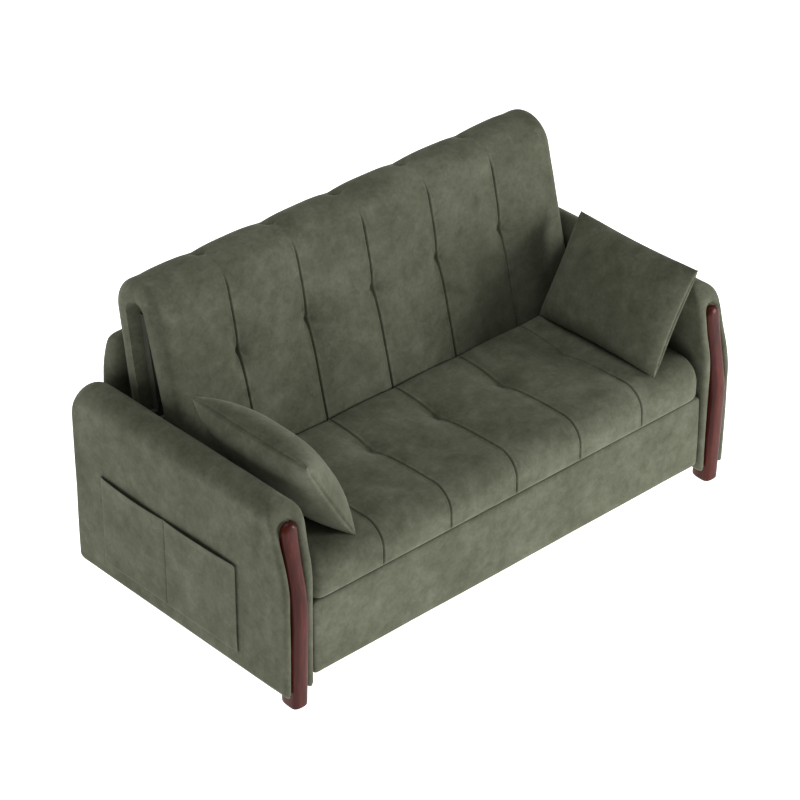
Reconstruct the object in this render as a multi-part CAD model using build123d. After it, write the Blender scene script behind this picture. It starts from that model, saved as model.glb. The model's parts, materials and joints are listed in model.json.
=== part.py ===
from build123d import *
import os
from math import cos, radians, sin

os.makedirs("parts", exist_ok=True)

# Two-seat futon sofa bed. Its seat rolls out on casters, and the folded back opens flat
# behind it. Millimetres, +Z up, front faces -Y. Side profiles are lists of (depth, height),
# where depth is measured rearwards from the plane of the front panel.
origin_depth = 416.0  # depth of the frame's origin, the middle of the footprint

# Seat and front panel, which roll out together
seat_half_width = 718.0
seat_top = 419.0  # also the height of the opened bed
cushion_bottom = 298.0
panel_bottom = 68.0
panel_half_width = 720.0
panel_padding = 22.0
board_thickness = 15.0
slat_count = 11
slat_width = 60.0
slat_thickness = 18.0
tube = 30.0  # side of the square steel tube
tube_wall = 2.0
rail_half_span = 690.0
seat_front = 40.0  # front of the steel frame under the seat
seat_rear = 425.0

# Folded back: two padded layers joined at the fold line along their top
fold_depth = 692.0
fold_height = 846.0
layer_depth = 95.0  # from the fold plane to the padding's face
section_half_width = 712.0
front_lean = 14.0
rear_lean = 8.5
board_near = 3.0  # boards stand this far off the fold plane
board_far = 23.0
board_start = 14.0
board_cut = 26.0
board_cut_length = 290.0
pad_start = 2.0
head_length = 473.0
hinge_drop = 30.0  # seat hinge below the fold plane of the back section
back_overhang = 80.0  # padding past the seat hinge
pivot_rise = 12.0  # degrees from the opened bed's plane up to the rear pivot

# Hinges and support leg: radii of pins, and distances from the middle along the fold
pivot_pin = 8.0
hinge_pin = 6.0
fold_pin = 4.0
running_gap = 0.05  # between each pin and its bore
knuckle = 7.0
leaf_length = 70.0
hinge_middles = [-480.0, 0.0, 480.0]
hinge_half = 40.0
leg_middles = [-240.0, 240.0]
leg_width = 12.0
leg_bar_half = 2.5  # half the thickness of the leg's flat bars
leg_foot_radius = 8.0
leg_gap = 3.0  # left under the leg when the bed is open
eye_radius = 12.0  # of the seat hinges
eye_thickness = 4.0
hinge_arm_bar = 25.0
hinge_arm_low = 150.0

# Arms
arm_inner = 723.0
arm_outer = 823.0
arm_bottom = 46.0
arm_top = 612.0
arm_rear = 857.0
arm_edge_radius = 49.0
frame_inset = 19.0
frame_front = 40.0
frame_rear = 832.0
frame_bottom = 60.0
frame_top = 530.0
frame_rail = 45.0
plywood = 9.0
post_centre = 775.0
post_width = 50.0
post_top = 560.0
post_front = [(-14, 0), (-18, 92), (-23, 220), (-26, 300), (-19, 352), (-7, 425), (9, 510), (14, 560)]

# Side pockets on the arms' outer faces
pocket_front = 180.0
pocket_rear = 732.0
pocket_divider = 470.0
pocket_top = 373.0
pocket_bottom = 96.0
pocket_gap = 8.0
pocket_cloth = 3.0

# Rear panel and crossbars between the arms
rear_panel_front = 772.0
rear_panel_top = 740.0
rear_foot_radius = 20.0
crossbar_places = {"middle_crossbar": (640.0, 95.0), "lower_crossbar": (730.0, 95.0)}  # (depth, height)
end_plate = 3.0  # thickness of the crossbars' end plates and of the pivot brackets
pivot_plate_half = 40.0

# Casters
wheel_radius = 30.0
wheel_width = 22.0
axle_radius = 4.0
caster_leg_half = 12.0
fork_top = 72.0
fork_plate = 6.0
fork_cheek = 3.0
fork_room = 3.0  # each side of the wheel
caster_places = [(675.0, 112.0), (640.0, 410.0)]  # front and rear: (distance from the middle, depth)

# Loose pillows: bottom edge and top edge as (distance from the middle, height)
pillows = {
    "right": {"side": 1, "bottom": (551, 420.5), "top": (709, 702), "depth": 251, "thick": 116},
    "left": {"side": -1, "bottom": (551, 420.5), "top": (703, 684), "depth": 257, "thick": 126},
}
pillow_length = 453.0

# Linkage: where the pins lie when the back is folded
half_turn = 180.0
rear_turn = 90.0 + rear_lean
bed_fold_height = seat_top - layer_depth
pivot_angle = radians(half_turn + pivot_rise - rear_turn)
pivot_arm = (fold_height - bed_fold_height) / (sin(pivot_angle) + sin(radians(pivot_rise)))
pivot_depth = fold_depth - pivot_arm * cos(pivot_angle)
pivot_height = fold_height - pivot_arm * sin(pivot_angle)
hinge_along = (
    fold_height - hinge_drop * sin(radians(front_lean)) - (bed_fold_height - hinge_drop)
) / cos(radians(front_lean))


def back_at(along, out):
    """Depth and height of a point down the back section, and out from its fold plane."""
    lean = radians(front_lean)
    depth = fold_depth - along * sin(lean) - out * cos(lean)
    return depth, fold_height - along * cos(lean) + out * sin(lean)


def head_at(along, out):
    """The same for the head section, which faces the other way."""
    lean = radians(rear_lean)
    depth = fold_depth - along * sin(lean) + out * cos(lean)
    return depth, fold_height - along * cos(lean) - out * sin(lean)


hinge_depth, hinge_height = back_at(hinge_along, -hinge_drop)


def outline(points, radii=None):
    """A closed side outline, with chosen corners rounded: {corner index: radius}."""
    face = Polygon(*[(depth - origin_depth, height) for depth, height in points], align=None)
    for index, radius in (radii or {}).items():
        corner = Vector(points[index][0] - origin_depth, points[index][1], 0)
        face = fillet(face.vertices().sort_by_distance(corner)[0], radius)
    return face


def across(face, x_low, x_high):
    """Extrudes a side outline from x_low to x_high."""
    return extrude(Plane.YZ.offset(x_low) * face, amount=x_high - x_low, dir=(1, 0, 0))


def hollow_bar(depths, heights, xs):
    """A square tube along X, open at both ends."""
    bore_depths = (depths[0] + tube_wall, depths[1] - tube_wall)
    bore_heights = (heights[0] + tube_wall, heights[1] - tube_wall)
    return slab(depths, heights, xs) - slab(bore_depths, bore_heights, xs)


def through(face):
    """Extrudes a front outline through the whole depth of the sofa."""
    return extrude(Plane.XZ.offset(origin_depth + 100) * face, amount=1100, dir=(0, 1, 0))


def slab(depths, heights, xs):
    """A plain block between three pairs of limits."""
    corners = [(depths[0], heights[0]), (depths[1], heights[0]), (depths[1], heights[1])]
    return across(outline(corners + [(depths[0], heights[1])]), xs[0], xs[1])


def rod(depth, height, radius, x_low, x_high):
    """A round bar along X."""
    return across(Pos(depth - origin_depth, height) * Circle(radius), x_low, x_high)


def flipped(shape):
    """The left-hand version of a right-hand solid, or of a list of them."""
    if isinstance(shape, list):
        return [flipped(solid) for solid in shape]
    return mirror(shape, about=Plane.YZ)


def write(name, shape):
    solids = shape if isinstance(shape, list) else [shape]
    export_step(Compound(children=solids) if len(solids) > 1 else solids[0], f"parts/{name}.step")


# ---- Arms -------------------------------------------------------------------------------


def wood_post():
    """Post let into the arm's front edge, which runs down to the floor as the front foot."""
    back = frame_front
    foot_back = back + 15
    points = post_front + [(back, post_top), (back, arm_bottom), (foot_back, arm_bottom), (foot_back, 0)]
    bends = {index: 280 for index in range(1, len(post_front) - 1)}
    side = across(outline(points, bends), post_centre - post_width / 2, post_centre + post_width / 2)
    radius = post_width / 2
    front = Pos(post_centre, post_top - radius) * Circle(radius)
    front += Pos(post_centre, (post_top - radius) / 2) * Rectangle(post_width, post_top - radius)
    plan = Pos(post_centre, 30 - origin_depth) * RectangleRounded(post_width, 110, 14)
    return side & through(front) & extrude(plan, amount=post_top)


def arm_block():
    """The arm's outer shape: a side outline crossed with a round-topped front outline."""
    points = [(-12, arm_bottom), (-16, 205), (-14, 358), (-6, 405), (13, 490), (33, 566)]
    points += [(72, arm_top), (arm_rear, arm_top), (arm_rear, arm_bottom)]
    side = across(outline(points, {5: 60, 6: 60, 7: 70, 8: 12, 0: 12}), arm_inner, arm_outer)
    width = arm_outer - arm_inner
    front = Rectangle(width, arm_top - arm_bottom)
    front = fillet(front.vertices().group_by(Axis.Y)[-1], arm_edge_radius)
    front = Pos((arm_inner + arm_outer) / 2, (arm_top + arm_bottom) / 2) * front
    return side & through(front)


def frame_space():
    """The room inside the padding that the arm's frame fills."""
    heights = (frame_bottom, frame_top)
    return slab((frame_front, frame_rear), heights, (arm_inner + frame_inset, arm_outer - frame_inset))


def arm_frame():
    """Timber rails and stiles between two plywood sides."""
    low, high = arm_inner + frame_inset, arm_outer - frame_inset
    depths, heights = (frame_front, frame_rear), (frame_bottom, frame_top)
    core = (low + plywood, high - plywood)
    solids = [slab(depths, heights, (low, core[0])), slab(depths, heights, (core[1], high))]
    for bottom in (frame_bottom, frame_top - frame_rail):
        solids.append(slab(depths, (bottom, bottom + frame_rail), core))
    for front in (frame_front, frame_rear - frame_rail):
        uprights = (frame_bottom + frame_rail, frame_top - frame_rail)
        solids.append(slab((front, front + frame_rail), uprights, core))
    return solids


def rear_foot():
    """Tapered turned foot under the rear of the arm."""
    centre = Pos(arm_inner + 34, 800 - origin_depth, frame_bottom / 2)
    return centre * Cone(rear_foot_radius - 3, rear_foot_radius, frame_bottom)


def side_pocket():
    """Flat pocket of two compartments, open along its top."""
    inner, outer = arm_outer, arm_outer + pocket_gap
    wall = pocket_cloth
    depths, heights = (pocket_front, pocket_rear), (pocket_bottom, pocket_top)
    cloth = slab(depths, heights, (inner, outer + wall))
    edges = [pocket_front, pocket_divider, pocket_rear]
    for front, rear in zip(edges, edges[1:]):
        room = (front + wall, rear - wall)
        cloth -= slab(room, (pocket_bottom + wall, pocket_top + wall), (inner, outer))
    return cloth


foot = rear_foot()
post = wood_post()
arm_parts = {
    "wood_post": post,
    "arm_padding": arm_block() - frame_space() - post - foot,
    "arm_frame": arm_frame(),
    "rear_foot": foot,
    "side_pocket": side_pocket(),
}

# ---- Rear panel, crossbars and rear pivots ----------------------------------------------


def rear_panel():
    """Upholstered panel that closes the back between the arms, with a rolled top edge."""
    front, rear = rear_panel_front, arm_rear
    points = [(front, frame_bottom), (front, rear_panel_top), (front + 32, rear_panel_top)]
    points += [(rear, 600), (rear, frame_bottom)]
    shape = across(outline(points, {1: 8, 2: 30, 3: 80, 4: 8}), -arm_inner, arm_inner)
    return shape - rear_board()


def rear_board():
    return slab((804, 822), (frame_bottom, 640), (-arm_inner + 8, arm_inner - 8))


def crossbar(depth, height):
    """Steel tube with an end plate that bolts to each arm's frame."""
    end = arm_inner - end_plate
    half = tube / 2
    bar = hollow_bar((depth - half, depth + half), (height - half, height + half), (-end, end))
    plate_depths, plate_heights = (depth - tube, depth + tube), (height - half - 20, height + half + 20)
    for low in (-arm_inner, end):
        bar += slab(plate_depths, plate_heights, (low, low + end_plate))
    return bar


def crossbar_bolts():
    """Domed bolt heads on the crossbars' end plates."""
    heads = []
    for depth, height in crossbar_places.values():
        for shift in (-22, 22):
            near = arm_inner - end_plate
            heads.append(rod(depth + shift, height + 25, 5, near - 3, near))
    return heads + flipped(heads)


def pivot_bracket():
    """Plate on the arm's inner face, with the pin that the head section turns on."""
    half = pivot_plate_half
    depths = (pivot_depth - half, pivot_depth + half)
    plate = slab(depths, (pivot_height - half, pivot_height + half), (arm_inner - end_plate, arm_inner))
    return plate + rod(pivot_depth, pivot_height, pivot_pin, arm_inner - 14, arm_inner)


# ---- Head section, which becomes the rear third of the bed -------------------------------

head_board_end = head_length - 8


def board_strip(at, start, end, x_low, x_high):
    corners = [at(start, board_near), at(start, board_far), at(end, board_far), at(end, board_near)]
    return across(outline(corners), x_low, x_high)


def section_board(at, end):
    """Board under a layer's padding, cut back at both ends near the fold, where the cover turns in."""
    half = section_half_width - 1
    board = board_strip(at, board_start, end, -half, half)
    corner = board_strip(at, board_start - 1, board_cut_length, half - board_cut, half + 1)
    return board - corner - flipped(corner)


def section_pad(at, end):
    """Padding over a board's outer face, with its free end rounded."""
    corners = [at(pad_start, board_far), at(pad_start, layer_depth)]
    corners += [at(end, layer_depth), at(end, board_far)]
    return across(outline(corners, {2: 30}), -section_half_width, section_half_width)


def head_pad():
    """The head section's padding, cleared round the rear pivots at both ends."""
    pad = section_pad(head_at, head_length)
    ends = section_half_width - 8
    clearing = rod(pivot_depth, pivot_height, pivot_pin + 6, ends, ends + 20)
    return pad - clearing - flipped(clearing)


def pivot_link():
    """Steel plate on the end of the head board that reaches back to the rear pivot."""
    near, thickness = section_half_width + 1, 4
    pivot = (pivot_depth, pivot_height)
    band = [head_at(300, 4), head_at(head_board_end, 4), head_at(head_board_end, 22)]
    band += [(pivot[0] + 6, pivot[1] - 10), (pivot[0] - 10, pivot[1] + 10), head_at(330, 22), head_at(300, 22)]
    plate = across(outline(band), near, near + thickness)
    plate += rod(*pivot, pivot_pin + 6, near, near + thickness)
    return plate - rod(*pivot, pivot_pin + running_gap, near - 1, near + thickness + 1)


def link_screws():
    """Screws that hold the pivot links to the ends of the head board."""
    near = section_half_width + 5
    heads = [rod(*head_at(along, 13), 4, near, near + 2) for along in (320, 380, 440)]
    return heads + flipped(heads)


def leaf(at, x_low, x_high):
    """Flat leaf of a hinge, screwed to a board's inner face."""
    start = knuckle + 1.5
    corners = [at(start, 0), at(start, board_near), at(leaf_length, board_near), at(leaf_length, 0)]
    return across(outline(corners), x_low, x_high)


def knuckle_tab(at, x_low, x_high):
    """One knuckle of a hinge, with the tab that joins it to its leaf."""
    corners = [at(0, 0), at(0, board_near), at(knuckle + 2, board_near), at(knuckle + 2, 0)]
    ring = rod(fold_depth, fold_height, knuckle, x_low, x_high) + across(outline(corners), x_low, x_high)
    return ring - rod(fold_depth, fold_height, fold_pin + running_gap, x_low - 1, x_high + 1)


def head_leaves():
    """The head section's half of the fold hinges, and the brackets that carry the leg."""
    inner = 13.0
    leaves = []
    for middle in hinge_middles:
        half = leaf(head_at, middle - hinge_half, middle + hinge_half)
        leaves.append(half + knuckle_tab(head_at, middle - inner, middle + inner))
    for middle in leg_middles:
        for low in (middle - 19, middle + leg_width / 2 + 1):
            strip = leaf(head_at, low, low + 12)
            leaves.append(strip + knuckle_tab(head_at, low, low + 12))
    return leaves


def fold_pins():
    pins = [rod(fold_depth, fold_height, fold_pin, m - hinge_half, m + hinge_half) for m in hinge_middles]
    return pins + [rod(fold_depth, fold_height, fold_pin, m - 19, m + 19) for m in leg_middles]


# ---- Support leg -------------------------------------------------------------------------

leg_angle = (front_lean + rear_lean) / 2
leg_length = bed_fold_height - leg_gap


def leg_at(along, out):
    lean = radians(leg_angle)
    depth = fold_depth - along * sin(lean) + out * cos(lean)
    return depth, fold_height - along * cos(lean) - out * sin(lean)


def support_leg():
    """Two flat bars on the fold pins, joined by a foot bar, which stand up under the bed."""
    end = leg_length - leg_foot_radius
    span = abs(leg_middles[0]) + leg_width / 2
    frame = rod(*leg_at(end, 0), leg_foot_radius, -span, span)
    half = leg_bar_half
    bar = [leg_at(0, -half), leg_at(0, half), leg_at(end, half), leg_at(end, -half)]
    for middle in leg_middles:
        low, high = middle - leg_width / 2, middle + leg_width / 2
        strip = across(outline(bar), low, high) + rod(fold_depth, fold_height, knuckle, low, high)
        strip -= rod(fold_depth, fold_height, fold_pin + running_gap, low - 1, high + 1)
        frame += strip
    return frame


# ---- Back section, which becomes the middle third of the bed -----------------------------

back_pad_end = hinge_along + back_overhang
back_board_end = back_pad_end - 8


def back_leaves():
    """The back section's half of the fold hinges."""
    inner = 13.5
    leaves = []
    for middle in hinge_middles:
        half = leaf(back_at, middle - hinge_half, middle + hinge_half)
        half += knuckle_tab(back_at, middle - hinge_half, middle - inner)
        leaves.append(half + knuckle_tab(back_at, middle + inner, middle + hinge_half))
    return leaves


def hinge_bracket():
    """Angle bracket under the back board, with the eye of the seat hinge."""
    base = [back_at(500, board_near), back_at(610, board_near), back_at(610, 0), back_at(500, 0)]
    end = rail_half_span + eye_thickness + 1
    near = end - eye_thickness
    web = [back_at(510, 0), back_at(606, 0), back_at(hinge_along + eye_radius, -hinge_drop)]
    web.append(back_at(hinge_along - eye_radius, -hinge_drop))
    bracket = across(outline(base), end - 35, end) + across(outline(web), near, end)
    bracket += rod(hinge_depth, hinge_height, eye_radius, near, end)
    return bracket - rod(hinge_depth, hinge_height, hinge_pin + running_gap, near - 1, end + 1)


def fold_roll():
    """Padding that wraps over the fold line and joins the two layers."""
    centre = Pos(fold_depth - origin_depth, fold_height)
    ring = centre * Circle(layer_depth) - centre * Circle(board_far)
    reach = 2 * layer_depth
    corners = [(fold_depth, fold_height), back_at(0, reach), (fold_depth, fold_height + reach)]
    upper = Polygon(*[(d - origin_depth, h) for d, h in corners + [head_at(0, reach)]], align=None)
    upper += Pos(fold_depth - origin_depth, fold_height + reach) * Rectangle(2 * reach, reach)
    return across(ring & upper, -section_half_width, section_half_width)


# ---- Seat that rolls out -----------------------------------------------------------------

rail_top = cushion_bottom - slat_thickness
rail_bottom = rail_top - tube


def seat_cushion():
    """Seat padding, rounded at the front and hollowed behind where the back section turns."""
    rear = [(484, seat_top), (478, 400), (462, 380), (445, 350), (437, 320), (434, cushion_bottom)]
    points = [(-2, cushion_bottom), (-2, seat_top)] + rear
    return across(outline(points, {0: 8, 1: 42}), -seat_half_width, seat_half_width)


def front_padding():
    half = panel_half_width
    pad = slab((0, panel_padding), (panel_bottom, cushion_bottom - 1), (-half, half))
    return fillet(pad.faces().sort_by(Axis.Y)[0].edges(), 8)


def front_board():
    depths = (panel_padding, panel_padding + board_thickness)
    return slab(depths, (panel_bottom + 8, cushion_bottom - 8), (-panel_half_width + 8, panel_half_width - 8))


def seat_slats():
    """Slats under the seat padding, from the front rail to the rear one."""
    span = 2 * rail_half_span - slat_width
    slats = []
    for index in range(slat_count):
        low = -rail_half_span + span * index / (slat_count - 1)
        slats.append(slab((seat_front, seat_rear), (rail_top, cushion_bottom), (low, low + slat_width)))
    return slats


def seat_rail(front):
    """Square steel tube along the width of the seat."""
    depths, heights = (front, front + tube), (rail_bottom, rail_top)
    return hollow_bar(depths, heights, (-rail_half_span, rail_half_span))


def seat_side_rail():
    depths = (seat_front + tube, seat_rear - tube)
    return slab(depths, (rail_bottom, rail_top), (rail_half_span - tube, rail_half_span))


def hinge_arm():
    """Arm from the rear rail that passes under the back section and up to the seat hinge."""
    bar, low = hinge_arm_bar, hinge_arm_low
    xs = (rail_half_span - 20, rail_half_span)
    reach = hinge_depth + bar / 2
    arm = slab((seat_rear - bar, seat_rear), (low, rail_bottom), xs)
    arm += slab((seat_rear - bar, reach), (low, low + bar), xs)
    arm += slab((reach - bar, reach), (low, hinge_height), xs)
    arm += rod(hinge_depth, hinge_height, bar / 2, *xs)
    return arm + rod(hinge_depth, hinge_height, hinge_pin, xs[0], xs[1] + 7)


def caster_spots():
    return [(side * x, depth) for side in (-1, 1) for x, depth in caster_places]


def caster_leg(x, depth):
    half = caster_leg_half
    return slab((depth - half, depth + half), (fork_top, rail_bottom), (x - half, x + half))


def caster_fork(x, depth):
    """Bridge and two cheeks that hold the wheel."""
    room, half, under = wheel_width / 2 + fork_room, caster_leg_half, fork_top - fork_plate
    reach = room + fork_cheek
    fork = slab((depth - half - 4, depth + half + 4), (under, fork_top), (x - reach, x + reach))
    for low in (x - reach, x + room):
        plate = slab((depth - half, depth + half), (wheel_radius, under), (low, low + fork_cheek))
        fork += plate + rod(depth, wheel_radius, half, low, low + fork_cheek)
    return fork - rod(depth, wheel_radius, axle_radius, x - reach - 1, x + reach + 1)


def caster_axle(x, depth):
    reach = wheel_width / 2 + fork_room + fork_cheek + 1
    return rod(depth, wheel_radius, axle_radius, x - reach, x + reach)


def caster_wheel(x, depth):
    half = wheel_width / 2
    wheel = rod(depth, wheel_radius, wheel_radius, x - half, x + half)
    wheel = fillet(wheel.edges().filter_by(GeomType.CIRCLE), 4)
    return wheel - rod(depth, wheel_radius, axle_radius + running_gap, x - half - 1, x + half + 1)


def lens(length, thick):
    """Pointed oval: two equal arcs that meet at both ends."""
    half = length / 2
    top = ThreePointArc((-half, 0), (0, thick / 2), (half, 0))
    under = ThreePointArc((half, 0), (0, -thick / 2), (-half, 0))
    return make_face(Wire([top, under]))


def pillow(side, bottom, top, depth, thick):
    """Knife-edged pillow that leans outwards, with its lower edge on the seat."""
    lean = Vector(top[0] - bottom[0], 0, top[1] - bottom[1])
    middle = ((bottom[0] + top[0]) / 2, depth - origin_depth, (bottom[1] + top[1]) / 2)
    place = Plane(origin=middle, x_dir=(0, 1, 0), z_dir=lean.cross(Vector(0, 1, 0)))
    width, half = lean.length, pillow_length
    along = extrude(Plane.XZ.offset(-half) * lens(pillow_length, thick), amount=2 * half)
    over = extrude(Plane.YZ.offset(-half) * lens(width, thick), amount=2 * half)
    right = place.location * (along & over)
    return right if side > 0 else flipped(right)


# ---- Every sub-part ----------------------------------------------------------------------

paired = dict(arm_parts)
paired["pivot_bracket"] = pivot_bracket()
paired["pivot_link"] = pivot_link()
paired["hinge_bracket"] = hinge_bracket()
paired["seat_side_rail"] = seat_side_rail()
paired["hinge_arm"] = hinge_arm()

single = {
    "rear_panel_padding": rear_panel(),
    "rear_panel_board": rear_board(),
    "crossbar_bolts": crossbar_bolts(),
    "head_board": section_board(head_at, head_board_end),
    "head_pad": head_pad(),
    "link_screws": link_screws(),
    "head_hinge_leaves": head_leaves(),
    "fold_pins": fold_pins(),
    "support_leg": support_leg(),
    "back_board": section_board(back_at, back_board_end),
    "back_pad": section_pad(back_at, back_pad_end),
    "back_hinge_leaves": back_leaves(),
    "fold_roll": fold_roll(),
    "seat_cushion": seat_cushion(),
    "front_padding": front_padding(),
    "front_board": front_board(),
    "seat_slats": seat_slats(),
    "seat_front_rail": seat_rail(seat_front),
    "seat_rear_rail": seat_rail(seat_rear - tube),
    "caster_legs": [caster_leg(*place) for place in caster_spots()],
    "caster_forks": [caster_fork(*place) for place in caster_spots()],
    "caster_axles": [caster_axle(*place) for place in caster_spots()],
}
for name, place in crossbar_places.items():
    single[name] = crossbar(*place)
for (x, depth), name in zip(caster_spots(), ("left_front", "left_rear", "right_front", "right_rear")):
    single[f"{name}_wheel"] = caster_wheel(x, depth)
for name, shape in pillows.items():
    single[f"{name}_pillow"] = pillow(**shape)

for name, shape in paired.items():
    write(f"right_{name}", shape)
    write(f"left_{name}", flipped(shape))
for name, shape in single.items():
    write(name, shape)
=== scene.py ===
import bpy
import json
import math
import numpy as np
from itertools import product
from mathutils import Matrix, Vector, noise


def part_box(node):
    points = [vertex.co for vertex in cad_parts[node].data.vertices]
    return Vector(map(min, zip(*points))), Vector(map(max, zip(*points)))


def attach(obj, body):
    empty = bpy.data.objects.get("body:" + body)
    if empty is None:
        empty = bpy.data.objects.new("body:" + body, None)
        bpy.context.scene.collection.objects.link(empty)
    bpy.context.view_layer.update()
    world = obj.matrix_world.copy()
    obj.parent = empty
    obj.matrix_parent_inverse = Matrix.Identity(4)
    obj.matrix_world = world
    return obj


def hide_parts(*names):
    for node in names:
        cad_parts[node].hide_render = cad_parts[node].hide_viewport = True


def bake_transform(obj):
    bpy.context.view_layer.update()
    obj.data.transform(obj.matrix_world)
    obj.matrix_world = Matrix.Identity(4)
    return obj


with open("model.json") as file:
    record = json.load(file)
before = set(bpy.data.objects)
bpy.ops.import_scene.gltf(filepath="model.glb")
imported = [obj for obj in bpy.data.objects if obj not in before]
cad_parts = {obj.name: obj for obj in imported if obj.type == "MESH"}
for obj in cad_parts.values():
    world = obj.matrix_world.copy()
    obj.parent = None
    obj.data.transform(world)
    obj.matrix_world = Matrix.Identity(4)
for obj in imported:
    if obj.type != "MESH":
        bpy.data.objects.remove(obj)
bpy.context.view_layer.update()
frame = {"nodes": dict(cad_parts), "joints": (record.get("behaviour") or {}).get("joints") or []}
print("stage: frame loaded")

mm = 0.001
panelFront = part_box("front_padding")[0].y  # depths are measured rearwards from here

view = {
    "place": (-5.155, -5.569, 5.291),
    "elevation": 32.78,  # degrees down to the sofa
    "turn": -42.57,  # degrees from straight on, camera to the left
    "lens": 148.8,
    "sensor": 36.0,
    "farthest": 100,
}
camera = bpy.data.objects.new("camera", bpy.data.cameras.new("camera"))
bpy.context.scene.collection.objects.link(camera)
camera.location = view["place"]
camera.rotation_euler = (math.radians(90 - view["elevation"]), 0, math.radians(view["turn"]))
camera.data.lens = view["lens"]
camera.data.sensor_width = view["sensor"]
camera.data.clip_end = view["farthest"]
bpy.context.scene.camera = camera
bpy.context.scene.view_settings.view_transform = "Standard"

studio = {
    "worldHex": "#f4f5f2",
    "worldStrength": 0.17,
    "floorHex": "#f2f2f0",
    "floorHalf": 40.0,
    "floorRoughness": 0.9,
    "floorGlow": 1.35,  # white table lit from below, so no shadow shows on it
    "aim": (0, 0, 0.4),
    "lights": {
        "keyLight": {"place": (4.0, -4.6, 1.5), "size": 2.0, "power": 255},
        "topLight": {"place": (-0.6, 0.9, 4.2), "size": 2.5, "power": 66},
    },
}


def hexToLinear(code):
    channels = [int(code[i : i + 2], 16) / 255 for i in (1, 3, 5)]
    linear = [c / 12.92 if c <= 0.04045 else ((c + 0.055) / 1.055) ** 2.4 for c in channels]
    return (*linear, 1.0)


def addNode(tree, kind, settings=None, links=None):
    # settings name a property or an input; links join an input to another node's output
    node = tree.nodes.new(kind)
    for key, value in (settings or {}).items():
        if isinstance(key, str) and hasattr(node, key):
            setattr(node, key, value)
        else:
            node.inputs[key].default_value = value
    for key, (source, output) in (links or {}).items():
        tree.links.new(source.outputs[output], node.inputs[key])
    return node


def newMaterial(name):
    material = bpy.data.materials.new(name)
    material.use_nodes = True
    material.node_tree.nodes.clear()
    return material, material.node_tree


def softLight(name, place, size, power):
    lamp = bpy.data.lights.new(name, "AREA")
    lamp.energy = power
    lamp.size = size
    holder = bpy.data.objects.new(name, lamp)
    bpy.context.scene.collection.objects.link(holder)
    holder.location = place
    aim = Vector(studio["aim"]) - Vector(place)
    holder.rotation_euler = aim.to_track_quat("-Z", "Y").to_euler()


def buildStudio():
    world = bpy.data.worlds.new("studio")
    bpy.context.scene.world = world
    world.use_nodes = True
    sky = world.node_tree.nodes["Background"]
    sky.inputs["Color"].default_value = hexToLinear(studio["worldHex"])
    sky.inputs["Strength"].default_value = studio["worldStrength"]
    for name, lamp in studio["lights"].items():
        softLight(name, **lamp)
    half = studio["floorHalf"]
    corners = [(-half, -half, 0), (half, -half, 0), (half, half, 0), (-half, half, 0)]
    mesh = bpy.data.meshes.new("floor")
    mesh.from_pydata(corners, [], [(0, 1, 2, 3)])
    floor = bpy.data.objects.new("floor", mesh)
    bpy.context.scene.collection.objects.link(floor)
    material, tree = newMaterial("matt white studio paper")
    surface = addNode(
        tree,
        "ShaderNodeBsdfPrincipled",
        {
            "Base Color": hexToLinear(studio["floorHex"]),
            "Roughness": studio["floorRoughness"],
            "Emission Color": hexToLinear("#ffffff"),
            "Emission Strength": studio["floorGlow"],
        },
    )
    addNode(tree, "ShaderNodeOutputMaterial", links={"Surface": (surface, 0)})
    mesh.materials.append(material)


mottling = {
    "noise": {"Detail": 3.0, "Roughness": 0.6, "Distortion": 0.4},
    "stops": (0.35, 0.5, 0.65),  # where the three tones stand, so most of a surface is near the middle one
    "relief": {"Detail": 2.0, "Roughness": 0.7},
    "reliefStrength": 0.5,
}


def mottled(tree, colours, sizes, shares, stretch=(1, 1, 1)):
    # a colour that wanders between three tones in patches of the given sizes
    place = addNode(tree, "ShaderNodeTexCoord")
    drawn = addNode(tree, "ShaderNodeMapping", {"Scale": stretch}, {"Vector": (place, "Object")})
    total = None
    for size, share in zip(sizes, shares):
        patch = addNode(
            tree,
            "ShaderNodeTexNoise",
            {"Scale": 1 / size, **mottling["noise"]},
            {"Vector": (drawn, 0)},
        )
        weigh = {"operation": "MULTIPLY_ADD", 1: share, 2: 0.0}
        part = addNode(tree, "ShaderNodeMath", weigh, {0: (patch, 0)})
        if total is not None:
            tree.links.new(total.outputs[0], part.inputs[2])
        total = part
    ramp = addNode(tree, "ShaderNodeValToRGB", links={"Fac": (total, 0)})
    stops = ramp.color_ramp.elements
    dark, middle, pale = mottling["stops"]
    stops[0].position, stops[0].color = dark, hexToLinear(colours[0])
    stops[1].position, stops[1].color = pale, hexToLinear(colours[2])
    stops.new(middle).color = hexToLinear(colours[1])
    return drawn, ramp


def finishMaterial(tree, drawn, ramp, surface, grain, raised):
    # fine relief of the given grain size, then the surface and output
    fine = {"Scale": 1 / grain, **mottling["relief"]}
    relief = addNode(tree, "ShaderNodeTexNoise", fine, {"Vector": (drawn, 0)})
    height = {"Strength": mottling["reliefStrength"], "Distance": raised}
    bump = addNode(tree, "ShaderNodeBump", height, {"Height": (relief, 0)})
    links = {"Base Color": (ramp, 0), "Normal": (bump, 0)}
    body = addNode(tree, "ShaderNodeBsdfPrincipled", surface, links)
    addNode(tree, "ShaderNodeOutputMaterial", links={"Surface": (body, 0)})


velvet = {
    "tones": ("#4b4d3f", "#5b5d4e", "#6b6d5e"),
    "patches": (140 * mm, 34 * mm, 9 * mm),  # nap brushed one way, strokes of a hand, tufts of pile
    "shares": (0.44, 0.32, 0.24),
    "pile": 2.2 * mm,  # real pile is about 0.5 mm, drawn as coarse as the view needs
    "raised": 0.5 * mm,
    "surface": {
        "Roughness": 0.95,
        "Specular IOR Level": 0.12,
        "Sheen Weight": 0.32,
        "Sheen Roughness": 0.42,
        "Sheen Tint": "#c6c9b6",
    },
}


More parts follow.
